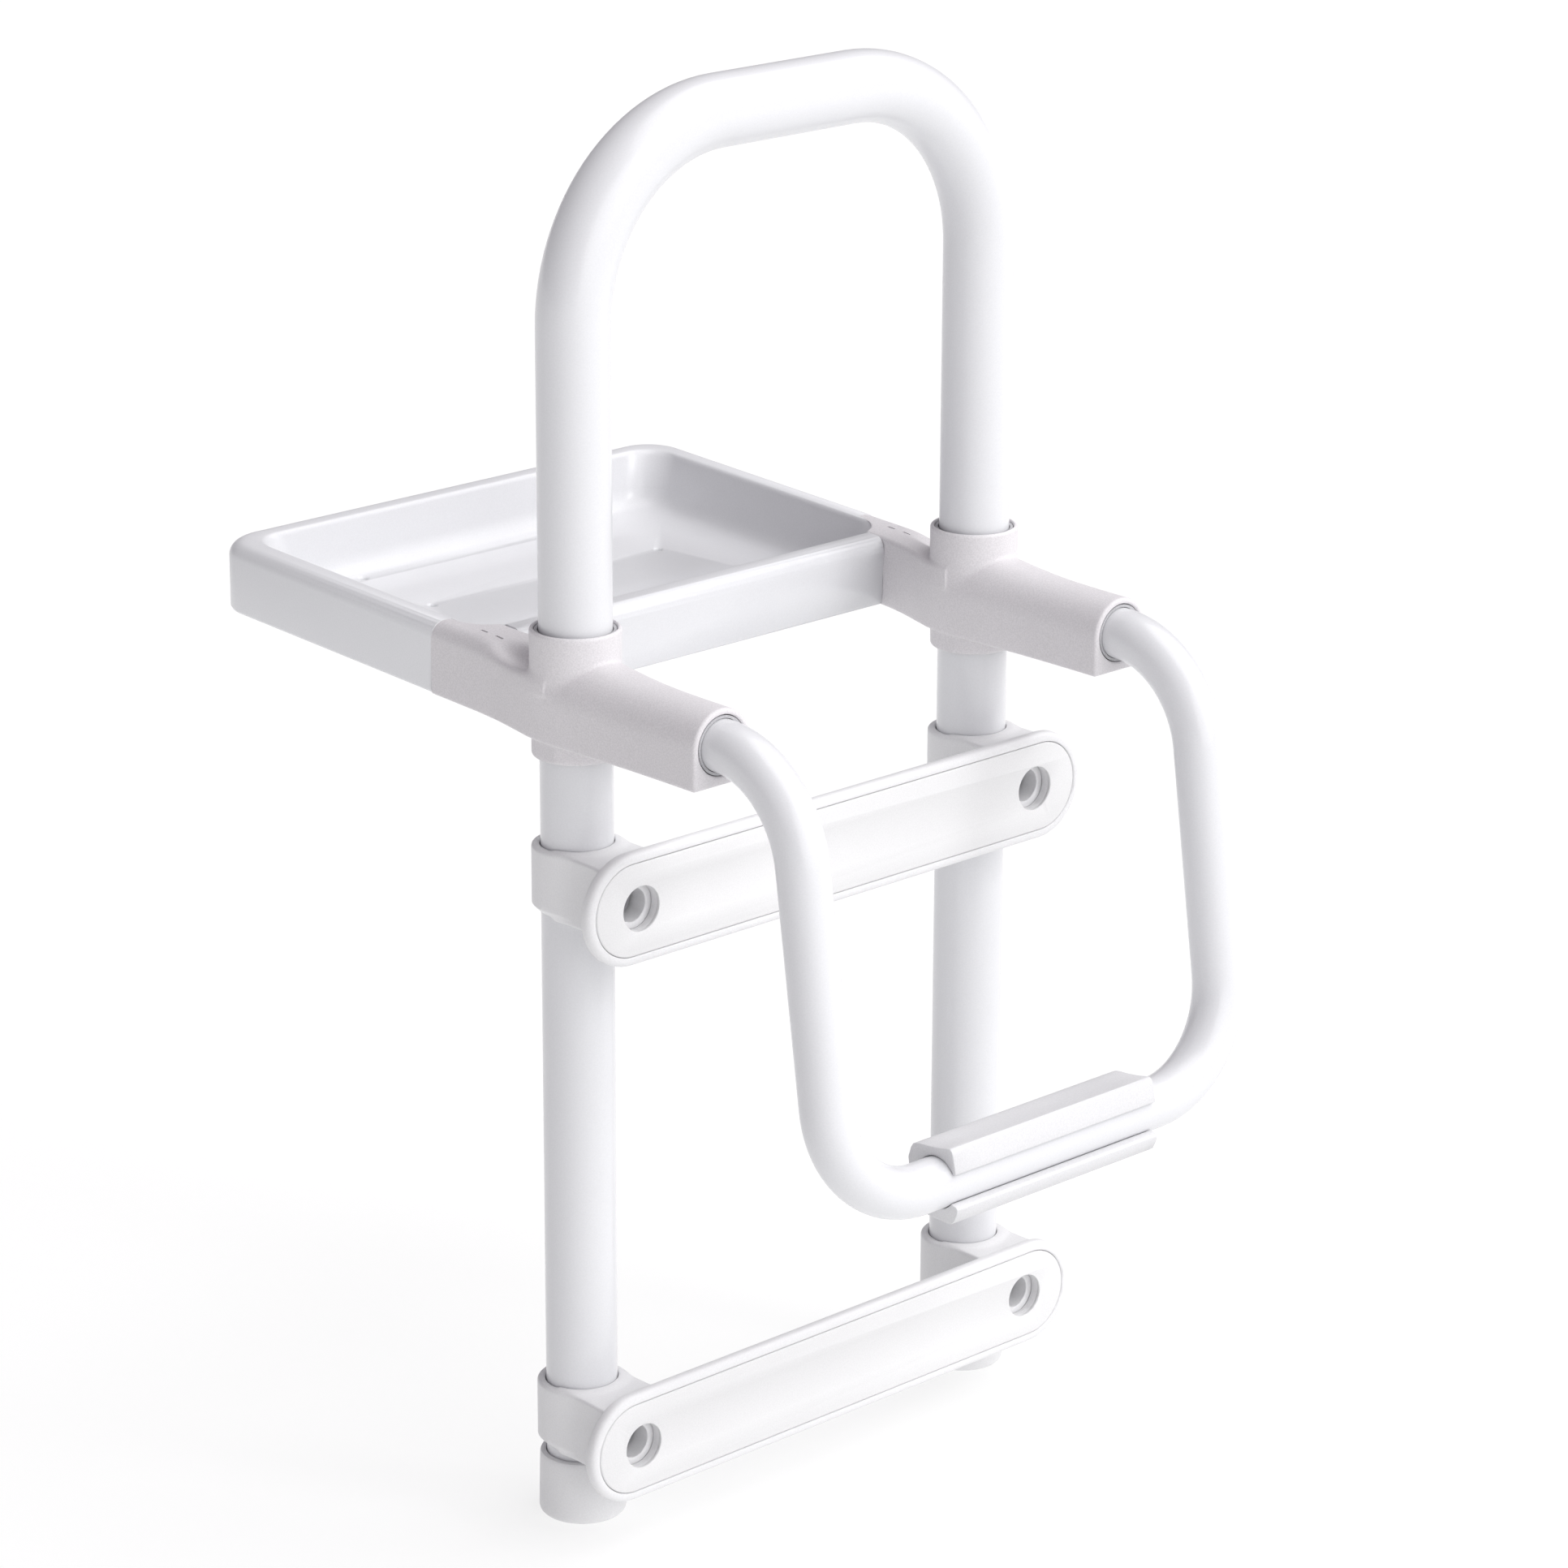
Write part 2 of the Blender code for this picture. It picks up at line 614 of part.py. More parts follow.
def make_brace(brace, height):
    body = prism(f"plate_{brace}", stadium(PLATE_HALF, PLATE_RADIUS, height), PLATE_FACE, PLATE_BACK, "XZ")
    round_edges(body, 0.0010, 1)
    pocket = prism(
        f"pocket_{brace}",
        stadium(PLATE_HALF - SHEET_BORDER, PLATE_RADIUS - SHEET_BORDER, height),
        PLATE_FACE - 0.01,
        PLATE_FACE + SHEET_POCKET,
        "XZ",
    )
    combine(body, pocket)
    edge = SHEET_BORDER + GAP
    sheet = prism(
        f"sheet_{brace}",
        stadium(PLATE_HALF - edge, PLATE_RADIUS - edge, height),
        PLATE_FACE - 0.0004,
        PLATE_FACE + SHEET_POCKET - GAP,
        "XZ",
    )
    for label, side in SIDES.items():
        x = side * LEG_X
        access = rod(f"access_{brace}_{label}", (x, -0.06, height), (x, -0.03, height), ACCESS_RADIUS)
        combine(body, access)
        combine(sheet, access)
        make_clamp(brace, label, side, height)
        for place_name, way in (("outer", side), ("inner", -side)):
            tag = f"{brace}_{label}_{place_name}"
            place, rise = x + way * PLATE_SCREW_REACH, height + PLATE_SCREW_RISE
            front, seat = (place, -0.06, rise), (place, PLATE_FACE + 0.0045, rise)
            combine(body, rod(f"head_room_{tag}", front, seat, 0.0040, sides=20))
            combine(body, rod(f"shank_room_{tag}", front, (place, -0.03, rise), 0.0023, sides=16))
            under_head = (place, PLATE_FACE + 0.0045 - GAP, rise)
            screw = cap_screw(f"screw_{tag}", under_head, (0, 1, 0), PLATE_SCREW_HEAD, (0.0019, 0.0140))
            finished(screw, f"{tag}_plate_screw", STEEL)
        seat = (x, BORE_FLOOR - GAP, height)
        lock = cap_screw(f"lock_{brace}_{label}", seat, (0, 1, 0), (0.0060, 0.0070), (0.0030, 0.0034))
        finished(lock, f"{brace}_{label}_lock_screw", STEEL)
    finished(body, f"{brace}_brace_plate", BRACE)
    finished(sheet, f"{brace}_facing_sheet", RUBBER)


for brace, height in BRACE_HEIGHTS.items():
    make_brace(brace, height)


# ---- fasteners of the brackets -----------------------------------------------------------
for label, side in SIDES.items():
    x = side * LEG_X
    tip = BOW_AXIS_Z - BOW_RADIUS - GAP
    grub = rod(f"arm_screw_{label}", (x, LOCK_Y, 0.0004), (x, LOCK_Y, tip), 0.0030, sides=20)
    combine(grub, rod(f"arm_key_{label}", (x, LOCK_Y, -0.01), (x, LOCK_Y, 0.0030), 0.0016, sides=6))
    finished(grub, f"{label}_arm_lock_screw", STEEL)
    seat = (x, COLLAR_RADIUS + GAP, COLLAR_LOCK_Z)
    reach = COLLAR_RADIUS - TUBE_RADIUS
    button = cap_screw(f"collar_screw_{label}", seat, (0, -1, 0), (0.0045, 0.0030), (0.0025, reach))
    finished(button, f"{label}_collar_lock_screw", STEEL)
    screw_x, screw_y = tray_screw_place(side)
    seat = (screw_x, screw_y, 0.0042 - GAP)
    screw = cap_screw(f"tray_screw_{label}", seat, (0, 0, 1), (0.0036, 0.0022), (0.0018, 0.0140), 20)
    finished(screw, f"{label}_tray_screw", STEEL)
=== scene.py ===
"""Looks of the edge-clamping safety rail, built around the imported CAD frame.

Frame: metres, +Z up.  x = 0 is the plane of symmetry, y = 0 holds the leg axes, z = 0 is the
underside of the arms.  -Y is the side of the clamping bow, +Y is the side of the tray.
"""
import json
import math

import bmesh
import bpy
import numpy as np
from mathutils import Matrix, Vector


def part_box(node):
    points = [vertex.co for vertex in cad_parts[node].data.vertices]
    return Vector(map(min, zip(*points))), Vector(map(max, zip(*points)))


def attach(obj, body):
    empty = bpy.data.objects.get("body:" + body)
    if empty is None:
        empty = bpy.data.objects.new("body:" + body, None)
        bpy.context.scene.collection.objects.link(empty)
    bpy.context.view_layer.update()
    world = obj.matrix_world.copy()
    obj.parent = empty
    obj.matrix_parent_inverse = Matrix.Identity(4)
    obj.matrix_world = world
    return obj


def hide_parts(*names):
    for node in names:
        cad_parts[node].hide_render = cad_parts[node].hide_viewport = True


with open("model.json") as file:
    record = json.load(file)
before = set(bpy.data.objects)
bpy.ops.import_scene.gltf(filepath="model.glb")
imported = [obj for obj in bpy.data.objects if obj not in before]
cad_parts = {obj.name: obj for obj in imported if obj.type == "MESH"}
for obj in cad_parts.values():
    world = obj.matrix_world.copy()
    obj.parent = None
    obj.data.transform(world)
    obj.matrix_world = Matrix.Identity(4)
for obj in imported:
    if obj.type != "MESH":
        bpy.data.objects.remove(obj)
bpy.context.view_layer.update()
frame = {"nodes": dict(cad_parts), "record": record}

MM = 0.001
SIDES = {"left": -1, "right": 1}


# ---- places read from the frame ----------------------------------------------------------
def low(node):
    return Vector(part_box(node)[0])


def high(node):
    return Vector(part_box(node)[1])


def middle(node):
    return (low(node) + high(node)) / 2


LEG_X = middle("right_ferrule").x
TUBE_RADIUS = high("handle_tube").y
HANDLE_TOP = high("handle_tube").z - TUBE_RADIUS
LEG_END = low("handle_tube").z
HANDLE_BEND = 80 * MM

BOW_AXIS = middle("right_bow_bush").z
BOW_START = high("bow_tube").y
BOW_RADIUS = high("bow_tube").x - LEG_X
BOW_TILT = math.radians(8.3)
BOW_BEND = 48 * MM
BOW_BEND_START = -92.5 * MM
BOW_CORNER = 47 * MM
BAR_Y = low("bow_tube").y + BOW_RADIUS
BAR_Z = low("bow_tube").z + BOW_RADIUS

COLLAR_RADIUS = high("right_bracket").x - LEG_X
COLLAR_TOP = high("right_bracket").z
COLLAR_FOOT = low("right_bracket").z
ARM_MOUTH = low("right_bracket").y
ARM_HALF = COLLAR_RADIUS - 3.9 * MM
BOW_BORE = 13.1 * MM
LINER_OUTER = high("right_collar_liner").x - LEG_X

TRAY_HALF = high("storage_tray").x
TRAY_FRONT = 48 * MM
TRAY_REAR = high("storage_tray").y
TRAY_HEIGHT = 32.2 * MM
TRAY_SLOPE = 0.04
SLOPE_START = 13 * MM
SEAM_Y = high("right_bracket").y        # where a bracket ends on the side of the tray
SHOULDER_INNER = 108 * MM
RIM_INSET = 12.0 * MM
FLOOR_DEPTH = 25 * MM

PLATE_FRONT = low("upper_brace_plate").y
PLATE_BACK = high("upper_brace_plate").y
PLATE_HALF = high("upper_brace_plate").x
PLATE_RADIUS = (high("upper_brace_plate").z - low("upper_brace_plate").z) / 2
KEY_HOLE = 10.3 * MM
KEY_BORE = 7.5 * MM
BRACES = {"upper": middle("upper_brace_plate").z, "lower": middle("lower_brace_plate").z}


# ---- materials ---------------------------------------------------------------------------
def node(tree, kind, **inputs):
    made = tree.nodes.new(kind)
    for name, value in inputs.items():
        made.inputs[name.replace("_", " ")].default_value = value
    return made


PATCH = 30 * MM         # size of the soft patches in which colour and roughness drift
SPECK = 0.7 * MM        # size of the specks of colour


def grainy(name, colour, drift, roughness, grain, bump, coat=0.0):
    """Painted or moulded surface: soft colour drift, specks, uneven roughness and a fine relief.

    drift is how far the colour darkens in patches, grain the size of the relief in metres, bump
    its strength, and coat the weight of a clear glossy layer.
    """
    made = bpy.data.materials.new(name)
    made.use_nodes = True
    tree = made.node_tree
    shader = tree.nodes["Principled BSDF"]
    link = tree.links.new
    place = node(tree, "ShaderNodeTexCoord").outputs["Object"]

    clouds = node(tree, "ShaderNodeTexNoise", Scale=1 / PATCH, Detail=4.0, Roughness=0.55)
    link(place, clouds.inputs["Vector"])
    tone = tree.nodes.new("ShaderNodeMix")
    tone.data_type = "RGBA"
    tone.inputs["A"].default_value = (*colour, 1)
    tone.inputs["B"].default_value = (*[channel * (1 - drift) for channel in colour], 1)
    link(clouds.outputs["Fac"], tone.inputs["Factor"])

    specks = node(tree, "ShaderNodeTexNoise", Scale=1 / SPECK, Detail=1.0, Roughness=0.5)
    link(place, specks.inputs["Vector"])
    flecked = tree.nodes.new("ShaderNodeMix")
    flecked.data_type = "RGBA"
    flecked.blend_type = "MULTIPLY"
    flecked.inputs["Factor"].default_value = min(1.0, drift * 8)
    link(tone.outputs["Result"], flecked.inputs["A"])
    ramp = tree.nodes.new("ShaderNodeMapRange")
    ramp.inputs["From Min"].default_value = 0.3
    ramp.inputs["From Max"].default_value = 0.7
    ramp.inputs["To Min"].default_value = 0.7
    ramp.inputs["To Max"].default_value = 1.0
    link(specks.outputs["Fac"], ramp.inputs["Value"])
    link(ramp.outputs["Result"], flecked.inputs["B"])
    link(flecked.outputs["Result"], shader.inputs["Base Color"])

    wear = tree.nodes.new("ShaderNodeMapRange")
    wear.inputs["To Min"].default_value = roughness * 0.88
    wear.inputs["To Max"].default_value = roughness * 1.12
    link(clouds.outputs["Fac"], wear.inputs["Value"])
    link(wear.outputs["Result"], shader.inputs["Roughness"])

    relief = node(tree, "ShaderNodeTexNoise", Scale=1 / grain, Detail=3.0, Roughness=0.6)
    link(place, relief.inputs["Vector"])
    raised = node(tree, "ShaderNodeBump", Strength=bump, Distance=grain * 0.2)
    link(relief.outputs["Fac"], raised.inputs["Height"])
    link(raised.outputs["Normal"], shader.inputs["Normal"])

    if coat:
        shader.inputs["Coat Weight"].default_value = coat
        shader.inputs["Coat Roughness"].default_value = 0.12
    return made


def brushed_steel(name):
    """Turned steel of the small screws, with fine rings and uneven polish."""
    made = bpy.data.materials.new(name)
    made.use_nodes = True
    tree = made.node_tree
    shader = tree.nodes["Principled BSDF"]
    shader.inputs["Metallic"].default_value = 1.0
    place = node(tree, "ShaderNodeTexCoord").outputs["Object"]
    rings = node(tree, "ShaderNodeTexNoise", Scale=1600.0, Detail=4.0)
    tree.links.new(place, rings.inputs["Vector"])
    tone = tree.nodes.new("ShaderNodeValToRGB")
    tone.color_ramp.elements[0].color = (0.42, 0.42, 0.44, 1)
    tone.color_ramp.elements[1].color = (0.66, 0.66, 0.68, 1)
    tree.links.new(rings.outputs["Fac"], tone.inputs["Fac"])
    tree.links.new(tone.outputs["Color"], shader.inputs["Base Color"])
    polish = tree.nodes.new("ShaderNodeMapRange")
    polish.inputs["To Min"].default_value = 0.22
    polish.inputs["To Max"].default_value = 0.42
    tree.links.new(rings.outputs["Fac"], polish.inputs["Value"])
    tree.links.new(polish.outputs["Result"], shader.inputs["Roughness"])
    return made


LOOKS = {
    "coated_tube": grainy("coated_tube", (0.75, 0.755, 0.775), 0.015, 0.30, 1.0 * MM, 0.03, coat=0.4),
    "moulded_bracket": grainy("moulded_bracket", (0.77, 0.75, 0.77), 0.05, 0.50, 0.6 * MM, 0.6),
    "glossy_tray": grainy("glossy_tray", (0.745, 0.75, 0.77), 0.015, 0.32, 1.0 * MM, 0.04, coat=0.2),
    "brace_plastic": grainy("brace_plastic", (0.79, 0.79, 0.80), 0.02, 0.42, 0.8 * MM, 0.25),
    "facing_rubber": grainy("facing_rubber", (0.77, 0.77, 0.775), 0.02, 0.62, 0.5 * MM, 0.35),
    "pad_rubber": grainy("pad_rubber", (0.73, 0.73, 0.745), 0.03, 0.50, 0.6 * MM, 0.35),
    "bush_nylon": grainy("bush_nylon", (0.55, 0.55, 0.57), 0.08, 0.55, 0.6 * MM, 0.30),
    "screw_steel": brushed_steel("screw_steel"),
}


# ---- mesh helpers ------------------------------------------------------------------------
def mesh_object(name, points, faces, smooth=40):
    mesh = bpy.data.meshes.new(name)
    mesh.from_pydata([tuple(point) for point in points], [], faces)
    mesh.validate()
    obj = bpy.data.objects.new(name, mesh)
    bpy.context.scene.collection.objects.link(obj)
    shade(obj, smooth)
    return obj


def shade(obj, angle):
    obj.data.shade_smooth()
    obj.data.set_sharp_from_angle(angle=math.radians(angle))


def bake(obj):
    """Apply every modifier of an object to its mesh."""
    bpy.context.view_layer.update()
    graph = bpy.context.evaluated_depsgraph_get()
    final = bpy.data.meshes.new_from_object(obj.evaluated_get(graph))
    obj.modifiers.clear()
    obj.data = final
    final.transform(obj.matrix_world)
    obj.matrix_world = Matrix.Identity(4)


def cut(obj, tool):
    """Take one solid out of another."""
    change = obj.modifiers.new("cut", "BOOLEAN")
    change.operation = "DIFFERENCE"
    change.solver = "EXACT"
    change.object = tool
    bake(obj)
    bpy.data.objects.remove(tool, do_unlink=True)
    return obj


def soften(obj, width, segments, angle):
    """Round every edge that is sharper than an angle."""
    change = obj.modifiers.new("soft_edges", "BEVEL")
    change.width = width
    change.segments = segments
    change.limit_method = "ANGLE"
    change.angle_limit = math.radians(angle)
    change.harden_normals = True


def finish_piece(obj, look, body, *nodes):
    """Give a new piece its finish and the body it rides on, and hide the CAD nodes it stands for."""
    obj.data.materials.clear()
    obj.data.materials.append(LOOKS[look])
    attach(obj, body)
    if nodes:
        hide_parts(*nodes)


def circle_about(centre, across, upward, radius, count):
    angles = [2 * math.pi * step / count for step in range(count)]
    return [centre + across * radius * math.cos(a) + upward * radius * math.sin(a) for a in angles]


def loft(name, rings, smooth):
    """Skin over rings that all have the same number of points, closed by flat ends."""
    count = len(rings[0])
    points = [point for ring in rings for point in ring]
    faces = []
    for row in range(len(rings) - 1):
        here, there = row * count, (row + 1) * count
        for step in range(count):
            after = (step + 1) % count
            faces.append((here + step, here + after, there + after, there + step))
    faces.append(tuple(range(count))[::-1])
    faces.append(tuple(range((len(rings) - 1) * count, len(rings) * count)))
    obj = mesh_object(name, points, faces, smooth)
    outward(obj)
    return obj


def outward(obj):
    work = bmesh.new()
    work.from_mesh(obj.data)
    bmesh.ops.recalc_face_normals(work, faces=work.faces)
    work.to_mesh(obj.data)
    work.free()


def solid_block(name, lowest, highest):
    (a, b, c), (d, e, f) = lowest, highest
    points = [(x, y, z) for x in (a, d) for y in (b, e) for z in (c, f)]
    faces = [(0, 1, 3, 2), (4, 6, 7, 5), (0, 4, 5, 1), (2, 3, 7, 6), (0, 2, 6, 4), (1, 5, 7, 3)]
    obj = mesh_object(name, points, faces, 30)
    outward(obj)
    return obj


def copy_of(obj, name):
    """Copy of an object, with a mesh of its own."""
    piece = obj.copy()
    piece.data = obj.data.copy()
    piece.name = name
    bpy.context.scene.collection.objects.link(piece)
    return piece


def sweep(name, route, radius, sides):
    """Round bar along a flat route, with flat ends."""
    rings = []
    first = (route[1] - route[0]).normalized()
    normal = first.orthogonal().normalized()
    for index, place in enumerate(route):
        before = route[max(index - 1, 0)]
        after = route[min(index + 1, len(route) - 1)]
        direction = (after - before).normalized()
        normal = (normal - direction * normal.dot(direction)).normalized()
        rings.append(circle_about(place, normal, direction.cross(normal), radius, sides))
    return loft(name, rings, 50)


def turned(name, profile, centre, sides=72, axis="Z"):
    """Lathe work about Z or Y: profile is a list of (radius, distance along the axis)."""
    across, along, upward = Vector((1, 0, 0)), Vector((0, 0, 1)), Vector((0, 1, 0))
    if axis == "Y":
        along, upward = upward, along
    rings = []
    for radius, distance in profile:
        spot = Vector(centre) + along * distance
        rings.append(circle_about(spot, across, upward, radius, sides))
    return loft(name, rings, 35)


def arc(centre, radius, start, end, steps):
    """Points on an arc of a plane, angles in degrees."""
    made = []
    for step in range(steps + 1):
        angle = math.radians(start + (end - start) * step / steps)
        made.append((centre[0] + radius * math.cos(angle), centre[1] + radius * math.sin(angle)))
    return made


# ---- solids as distance fields -----------------------------------------------------------
CUBE = [(i, j, k) for i in (0, 1) for j in (0, 1) for k in (0, 1)]      # corners of a cell


def join(first, second, blend):
    """Union of two fields, with a concave fillet of about the given size."""
    mix = np.clip(0.5 + 0.5 * (second - first) / blend, 0, 1)
    return second * (1 - mix) + first * mix - blend * mix * (1 - mix)


def carve(first, second, blend):
    """First field with the second taken out, with a rounded edge."""
    return -join(-first, second, blend)


def corner(first, second, radius):
    """Overlap of two fields, with a rounded outer edge."""
    outside = np.sqrt(np.maximum(first + radius, 0) ** 2 + np.maximum(second + radius, 0) ** 2)
    return outside + np.minimum(np.maximum(first, second) + radius, 0) - radius


def box_field(p, lowest, highest, radius):
    centre = [(a + b) / 2 for a, b in zip(lowest, highest)]
    half = [(b - a) / 2 - radius for a, b in zip(lowest, highest)]
    q = [np.abs(p[i] - centre[i]) - half[i] for i in range(3)]
    outside = np.sqrt(sum(np.maximum(value, 0) ** 2 for value in q))
    return outside + np.minimum(np.maximum(np.maximum(q[0], q[1]), q[2]), 0) - radius


def rod_field(p, axis, centre, radius, start, end, rounding):
    """Round bar along x (0), y (1) or z (2), with rounded rims."""
    others = [i for i in range(3) if i != axis]
    away = np.sqrt(sum((p[i] - centre[k]) ** 2 for k, i in enumerate(others)))
    ends = np.abs(p[axis] - (start + end) / 2) - (end - start) / 2
    return corner(away - radius, ends, rounding)


def net_points(value, cells):
    """Middle of the places where the edges of each cell cross the surface, in steps of the grid."""
    total = np.zeros((len(cells), 3))
    hits = np.zeros(len(cells))
    for near in CUBE:
        for axis in range(3):
            if near[axis]:
                continue
            far = tuple(1 if i == axis else near[i] for i in range(3))
            here = value[tuple((cells + near).T)]
            there = value[tuple((cells + far).T)]
            crossing = (here < 0) != (there < 0)
            share = np.where(crossing, here / np.where(crossing, here - there, 1), 0)
            place = np.repeat(np.array(near, float)[None], len(cells), 0)
            place[:, axis] += share
            total += place * crossing[:, None]
            hits += crossing
    return cells + total / hits[:, None]


def draw_onto(field, points, step):
    """Move points along the slope of a field until they lie on its zero surface."""
    small = step * 0.25
    for _ in range(3):
        here = field(list(points.T))
        slope = np.zeros_like(points)
        for axis in range(3):
            shift = np.zeros(3)
            shift[axis] = small
            ahead = field(list((points + shift).T))
            behind = field(list((points - shift).T))
            slope[:, axis] = (ahead - behind) / (2 * small)
        size = np.maximum((slope ** 2).sum(1), 0.3)
        move = -(here / size)[:, None] * slope
        points += np.clip(move, -0.4 * step, 0.4 * step)


def net_faces(inside, ids, shape):
    """One quad round each grid edge that crosses the surface, turned to face outward."""
    faces = []
    for axis in range(3):
        u, v = [i for i in range(3) if i != axis]
        shifted = [slice(None)] * 3
        plain = [slice(None)] * 3
        plain[axis] = slice(0, -1)
        shifted[axis] = slice(1, None)
        change = inside[tuple(plain)] != inside[tuple(shifted)]
        edges = np.argwhere(change)
        keep = (edges[:, u] > 0) & (edges[:, v] > 0)
        keep &= (edges[:, u] < shape[u]) & (edges[:, v] < shape[v])
        edges = edges[keep]
        quad = []
        for du, dv in ((-1, -1), (0, -1), (0, 0), (-1, 0)):
            spot = edges.copy()
            spot[:, u] += du
            spot[:, v] += dv
            quad.append(ids[tuple(spot.T)])
        quad = np.stack(quad, 1)
        starts_inside = inside[tuple(edges.T)]
        if axis == 1:
            starts_inside = ~starts_inside
        quad[~starts_inside] = quad[~starts_inside][:, ::-1]
        faces.append(quad)
    return np.concatenate(faces)


def surface_of(name, field, lowest, highest, step):
    """Mesh of the zero surface of a field, by surface nets with the points drawn onto it."""
    axes = [np.arange(a - 2 * step, b + 2 * step + step, step) for a, b in zip(lowest, highest)]
    value = field(np.meshgrid(*axes, indexing="ij"))
    inside = value < 0
    shape = tuple(size - 1 for size in value.shape)
    count = np.zeros(shape, dtype=np.int8)
    for i, j, k in CUBE:
        count += inside[i:i + shape[0], j:j + shape[1], k:k + shape[2]]
    cells = np.argwhere((count > 0) & (count < len(CUBE)))
    ids = -np.ones(shape, dtype=np.int64)
    ids[tuple(cells.T)] = np.arange(len(cells))
    origin = np.array([axis[0] for axis in axes])
    points = origin + net_points(value, cells) * step
    draw_onto(field, points, step)
    faces = net_faces(inside, ids, shape)

    mesh = bpy.data.meshes.new(name)
    mesh.vertices.add(len(points))
    mesh.vertices.foreach_set("co", points.ravel())
    mesh.loops.add(faces.size)
    mesh.loops.foreach_set("vertex_index", faces.ravel())
    mesh.polygons.add(len(faces))
    mesh.polygons.foreach_set("loop_start", np.arange(0, faces.size, 4))
    mesh.update(calc_edges=True)
    mesh.validate()
    obj = bpy.data.objects.new(name, mesh)
    bpy.context.scene.collection.objects.link(obj)
    outward(obj)
    shade(obj, 32)
    return obj


def lighten(obj, ratio):
    """Fewer faces where the surface is flat or nearly so."""
    change = obj.modifiers.new("lighten", "DECIMATE")
    change.ratio = ratio
    bake(obj)


# ---- bent tubes --------------------------------------------------------------------------
def handle_route():
    reach = LEG_X - HANDLE_BEND
    level = HANDLE_TOP - HANDLE_BEND
    straight = [Vector((-LEG_X, 0, z)) for z in np.linspace(LEG_END + 0.3 * MM, level, 12)[:-1]]
    bend = [Vector((x, 0, z)) for x, z in arc((-reach, level), HANDLE_BEND, 180, 90, 28)]
    half = straight + bend
    return half + [Vector((-p.x, p.y, p.z)) for p in half[::-1]]


def bow_route():
    start = Vector((LEG_X, BOW_START - 0.2 * MM, BOW_AXIS))
    half = [start, Vector((LEG_X, (BOW_START + BOW_BEND_START) / 2, BOW_AXIS))]
    turn = 90 - math.degrees(BOW_TILT)
    for y, z in arc((BOW_BEND_START, BOW_AXIS - BOW_BEND), BOW_BEND, 90, 90 + turn, 22):
        half.append(Vector((LEG_X, y, z)))
    down = Vector((0, -math.sin(BOW_TILT), -math.cos(BOW_TILT)))
    bar = Vector((0, BAR_Y, BAR_Z))
    for across, below in arc((LEG_X - BOW_CORNER, 0), BOW_CORNER, 0, 90, 20):
        half.append(Vector((across, bar.y, bar.z)) - down * (BOW_CORNER - below))
    return half + [Vector((-p.x, p.y, p.z)) for p in half[::-1]]


finish_piece(
    sweep("grab_tube", handle_route(), TUBE_RADIUS, 72), "coated_tube", "handle_frame", "handle_tube"
)
finish_piece(sweep("clamp_tube", bow_route(), BOW_RADIUS, 60), "coated_tube", "clamp_bow", "bow_tube")


# ---- tray --------------------------------------------------------------------------------
def rounded_loop(half_x, front, rear, radius, z):
    corners = [
        ((half_x - radius, rear - radius), 0),
        ((-half_x + radius, rear - radius), 90),
        ((-half_x + radius, front + radius), 180),
        ((half_x - radius, front + radius), 270),
    ]
    loop = []
    for centre, turn in corners:
        loop += [Vector((x, y, z)) for x, y in arc(centre, radius, turn, turn + 90, 14)]
    return loop


def leaning(obj):
    """Lean a solid back about the line where the tray's slope begins."""
    hinge = Matrix.Translation((0, SLOPE_START, 0))
    lean = hinge @ Matrix.Rotation(math.atan(TRAY_SLOPE), 4, "X") @ hinge.inverted()
    obj.data.transform(lean)


OUTER_CORNER = 17 * MM
CAVITY_CORNER = 18 * MM
RIM_ROUND = 7 * MM
REAR = TRAY_REAR + 0.6 * MM
DRAIN_X = 68 * MM
DRAIN_ROWS = (157 * MM, 206 * MM)
DRAIN_RADIUS = 1.9 * MM
DISH_RADIUS = 4.4 * MM


def tray_ring(inset, z):
    """Outline of the tray's outside, or of its hollow, drawn in by a distance."""
    radius = max(OUTER_CORNER - inset * 0.15, 9 * MM)
    if inset > RIM_INSET:
        radius = CAVITY_CORNER
    return rounded_loop(TRAY_HALF - inset, TRAY_FRONT + inset, REAR - inset, radius, z)


def cavity_profile(grow=0.0):
    """Inset and height of the hollow's wall from its mouth down to its floor."""
    top, bottom = TRAY_HEIGHT, TRAY_HEIGHT - FLOOR_DEPTH
    steps = [(RIM_INSET - 1.4 * MM, top), (RIM_INSET - 0.6 * MM, top - 0.25 * MM)]
    steps += [(RIM_INSET, top - 0.9 * MM), (RIM_INSET + 0.5 * MM, top - 2.2 * MM)]
    steps += [(RIM_INSET + 4.8 * MM, bottom + 9 * MM), (RIM_INSET + 6.4 * MM, bottom + 5 * MM)]
    steps += [(RIM_INSET + 8.6 * MM, bottom + 2 * MM), (RIM_INSET + 11.5 * MM, bottom + 0.5 * MM)]
    steps += [(RIM_INSET + 15 * MM, bottom), (RIM_INSET + 20 * MM, bottom)]
    return [(inset - grow, z - grow) for inset, z in steps]


